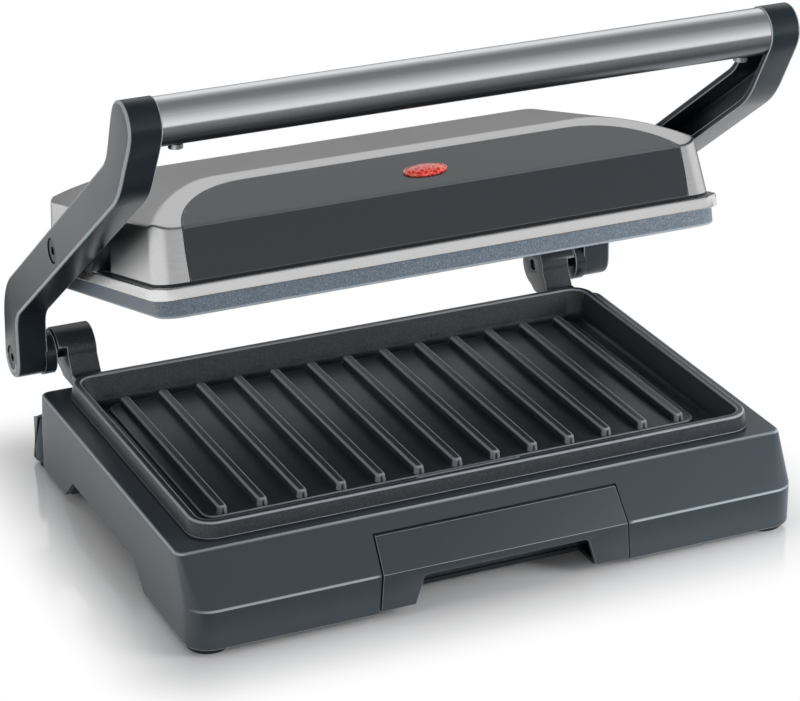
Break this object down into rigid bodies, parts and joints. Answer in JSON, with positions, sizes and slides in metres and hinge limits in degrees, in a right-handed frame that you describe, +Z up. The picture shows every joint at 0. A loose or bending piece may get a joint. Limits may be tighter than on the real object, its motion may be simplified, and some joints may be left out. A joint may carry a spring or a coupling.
{
  "type": "contact grill",
  "caption": "Compact contact grill: two ribbed plates, a floating steel lid on bent arms with a tube handle, and a front drip tray.",
  "frame": {"origin": "on the table, under the middle of the whole grill with its lid raised as in the rest pose", "axes": "+X to the right along the handle, +Y from the drip tray to the hinge, +Z up"},
  "size_m": [0.2764, 0.1975, 0.2102],
  "materials": {
    "slate_plastic": "satin moulded plastic, slate grey with a fine grain",
    "dark_plastic": "satin moulded plastic, near black to grey where it faces the light",
    "foot_rubber": "matt rubber",
    "zinc_steel": "zinc-plated steel",
    "coated_cast_aluminium": "cast aluminium with a dark non-stick coating",
    "element_steel": "annealed steel sheath",
    "shield_aluminium": "mill-finish sheet",
    "block_ceramic": "unglazed",
    "wire_sleeve": "woven glass sleeve",
    "handle_steel": "brushed along the tube",
    "lid_steel": "brushed from side to side",
    "band_steel": "fine satin",
    "thermostat_case": "phenolic moulding",
    "red_lens": "clear red with a gloss surface",
    "lamp_glass": "clear glass"
  },
  "bodies": {
    "base": {"base_housing": "slate_plastic", "bottom_cover": "dark_plastic", "rubber_feet": "foot_rubber", "cover_screws": "zinc_steel", "lower_grill_plate": "coated_cast_aluminium", "hinge_lugs": "coated_cast_aluminium", "lower_plate_screws": "zinc_steel", "lower_heating_element": "element_steel", "lower_heat_shield": "shield_aluminium", "terminal_block": "block_ceramic", "cord_gland": "dark_plastic", "base_wiring": "wire_sleeve", "hinge_screws": "zinc_steel", "hinge_washers": "zinc_steel"},
    "drip_tray": {"drip_tray": "slate_plastic"},
    "arms": {"left_arm": "dark_plastic", "right_arm": "dark_plastic", "handle_tube": "handle_steel", "handle_screws": "zinc_steel", "arm_lead": "wire_sleeve"},
    "lid": {"lid_shell": "lid_steel", "lid_front_panel": "slate_plastic", "lid_skirt": "band_steel", "lid_frame": "dark_plastic", "upper_grill_plate": "coated_cast_aluminium", "upper_plate_screws": "zinc_steel", "upper_heating_element": "element_steel", "upper_heat_shield": "shield_aluminium", "lid_screws": "zinc_steel", "thermostat": "thermostat_case", "thermal_fuse": "element_steel", "indicator_lens": "red_lens", "lamp_holder": "dark_plastic", "neon_lamp": "lamp_glass", "pivot_screws": "zinc_steel", "pivot_washers": "zinc_steel", "lid_wiring": "wire_sleeve"}
  },
  "joints": [
    {"name": "arm_hinge", "type": "hinge", "parent": "base", "child": "arms", "pos_m": [0, 0.08746, 0.0505], "axis": [1, 0, 0], "range_deg": [0, 37.29]},
    {"name": "lid_pivot", "type": "hinge", "parent": "arms", "child": "lid", "pos_m": [0, 0.02587, 0.12104], "axis": [1, 0, 0], "range_deg": [-22.14, 0]},
    {"name": "tray_slide", "type": "slide", "parent": "base", "child": "drip_tray", "axis": [0, -1, 0], "range_m": [0, 0.1]}
  ],
  "couplings": [
    {"joint": "lid_pivot", "follows": "arm_hinge", "ratio": -0.59242}
  ]
}
